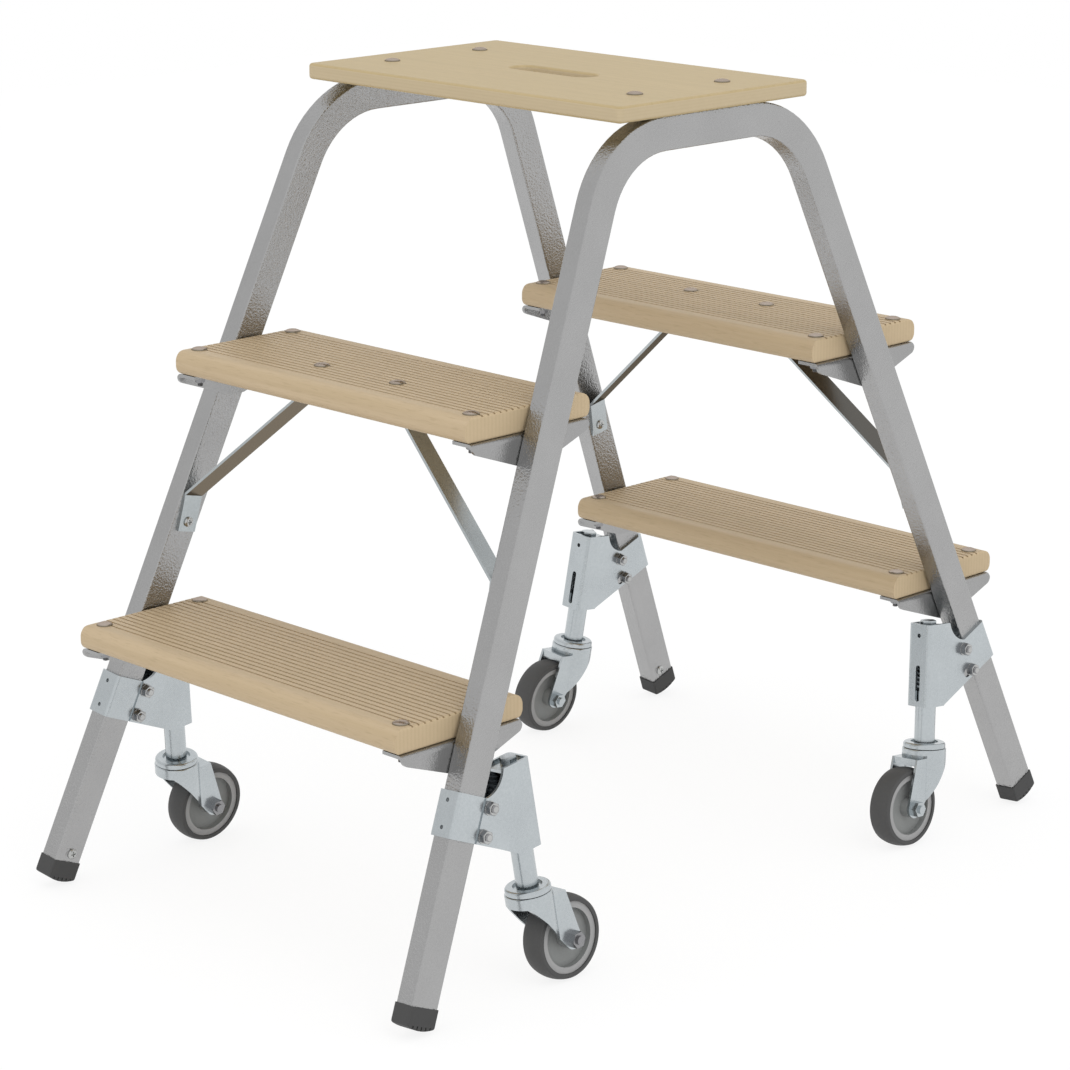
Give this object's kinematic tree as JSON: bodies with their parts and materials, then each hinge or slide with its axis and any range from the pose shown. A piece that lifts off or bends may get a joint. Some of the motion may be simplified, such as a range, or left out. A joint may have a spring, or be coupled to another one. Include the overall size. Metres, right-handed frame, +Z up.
{
  "type": "mobile step platform",
  "caption": "Double-sided step platform of bent tube frames with grooved wooden treads and a top board, rolling on sprung swivel castors.",
  "frame": {"origin": "on the floor under the middle of the platform", "axes": "+Z up, +Y from the front treads to the back treads, +X along the treads to the right-hand frame"},
  "size_m": [0.527, 0.839, 0.732],
  "materials": {
    "board_wood": "clear lacquered plywood",
    "tread_wood": "clear lacquered grooved hardwood",
    "frame_aluminium": "mill finish extruded tube",
    "bracket_aluminium": "mill finish folded sheet",
    "zinc_steel": "bright zinc plated",
    "spring_steel": "oiled spring wire",
    "foot_rubber": "matt moulded",
    "tyre_rubber": "matt moulded",
    "rim_plastic": "moulded"
  },
  "bodies": {
    "step_frame": {"platform_board": "board_wood", "side_frame_right": "frame_aluminium", "board_bracket_right": "bracket_aluminium", "side_frame_left": "frame_aluminium", "board_bracket_left": "bracket_aluminium", "tread_lower_front": "tread_wood", "tread_lower_back": "tread_wood", "tread_bracket_lower_front_right": "bracket_aluminium", "tread_bracket_lower_back_right": "bracket_aluminium", "tread_bracket_lower_front_left": "bracket_aluminium", "tread_bracket_lower_back_left": "bracket_aluminium", "tread_middle_front": "tread_wood", "tread_middle_back": "tread_wood", "tread_bracket_middle_front_right": "bracket_aluminium", "tread_bracket_middle_back_right": "bracket_aluminium", "tread_bracket_middle_front_left": "bracket_aluminium", "tread_bracket_middle_back_left": "bracket_aluminium", "foot_cap_front_right": "foot_rubber", "brace_front_right": "zinc_steel", "castor_housing_front_right": "zinc_steel", "castor_stem_front_right": "zinc_steel", "castor_spring_front_right": "spring_steel", "foot_cap_back_right": "foot_rubber", "brace_back_right": "zinc_steel", "castor_housing_back_right": "zinc_steel", "castor_stem_back_right": "zinc_steel", "castor_spring_back_right": "spring_steel", "foot_cap_front_left": "foot_rubber", "brace_front_left": "zinc_steel", "castor_housing_front_left": "zinc_steel", "castor_stem_front_left": "zinc_steel", "castor_spring_front_left": "spring_steel", "foot_cap_back_left": "foot_rubber", "brace_back_left": "zinc_steel", "castor_housing_back_left": "zinc_steel", "castor_stem_back_left": "zinc_steel", "castor_spring_back_left": "spring_steel"},
    "swivel_front_right": {"castor_fork_front_right": "zinc_steel", "castor_axle_front_right": "zinc_steel"},
    "wheel_front_right": {"wheel_rim_front_right": "rim_plastic", "wheel_tyre_front_right": "tyre_rubber"},
    "swivel_back_right": {"castor_fork_back_right": "zinc_steel", "castor_axle_back_right": "zinc_steel"},
    "wheel_back_right": {"wheel_rim_back_right": "rim_plastic", "wheel_tyre_back_right": "tyre_rubber"},
    "swivel_front_left": {"castor_fork_front_left": "zinc_steel", "castor_axle_front_left": "zinc_steel"},
    "wheel_front_left": {"wheel_rim_front_left": "rim_plastic", "wheel_tyre_front_left": "tyre_rubber"},
    "swivel_back_left": {"castor_fork_back_left": "zinc_steel", "castor_axle_back_left": "zinc_steel"},
    "wheel_back_left": {"wheel_rim_back_left": "rim_plastic", "wheel_tyre_back_left": "tyre_rubber"}
  },
  "joints": [
    {"name": "swivel_turn_front_right", "type": "hinge", "parent": "step_frame", "child": "swivel_front_right", "pos_m": [0.23925, -0.25879, 0.03414], "axis": [-0.0866, -0.1132, 0.9898], "continuous": true},
    {"name": "wheel_spin_front_right", "type": "hinge", "parent": "swivel_front_right", "child": "wheel_front_right", "pos_m": [0.23896, -0.22948, 0.03747], "axis": [0.9962, 0, 0.0872], "continuous": true},
    {"name": "swivel_turn_back_right", "type": "hinge", "parent": "step_frame", "child": "swivel_back_right", "pos_m": [0.23925, 0.25879, 0.03414], "axis": [-0.0866, 0.1132, 0.9898], "continuous": true},
    {"name": "wheel_spin_back_right", "type": "hinge", "parent": "swivel_back_right", "child": "wheel_back_right", "pos_m": [0.23896, 0.22948, 0.03747], "axis": [0.9962, 0, 0.0872], "continuous": true},
    {"name": "swivel_turn_front_left", "type": "hinge", "parent": "step_frame", "child": "swivel_front_left", "pos_m": [-0.23925, -0.25879, 0.03414], "axis": [0.0866, -0.1132, 0.9898], "continuous": true},
    {"name": "wheel_spin_front_left", "type": "hinge", "parent": "swivel_front_left", "child": "wheel_front_left", "pos_m": [-0.23896, -0.22948, 0.03747], "axis": [-0.9962, 0, 0.0872], "continuous": true},
    {"name": "swivel_turn_back_left", "type": "hinge", "parent": "step_frame", "child": "swivel_back_left", "pos_m": [-0.23925, 0.25879, 0.03414], "axis": [0.0866, 0.1132, 0.9898], "continuous": true},
    {"name": "wheel_spin_back_left", "type": "hinge", "parent": "swivel_back_left", "child": "wheel_back_left", "pos_m": [-0.23896, 0.22948, 0.03747], "axis": [-0.9962, 0, 0.0872], "continuous": true}
  ]
}
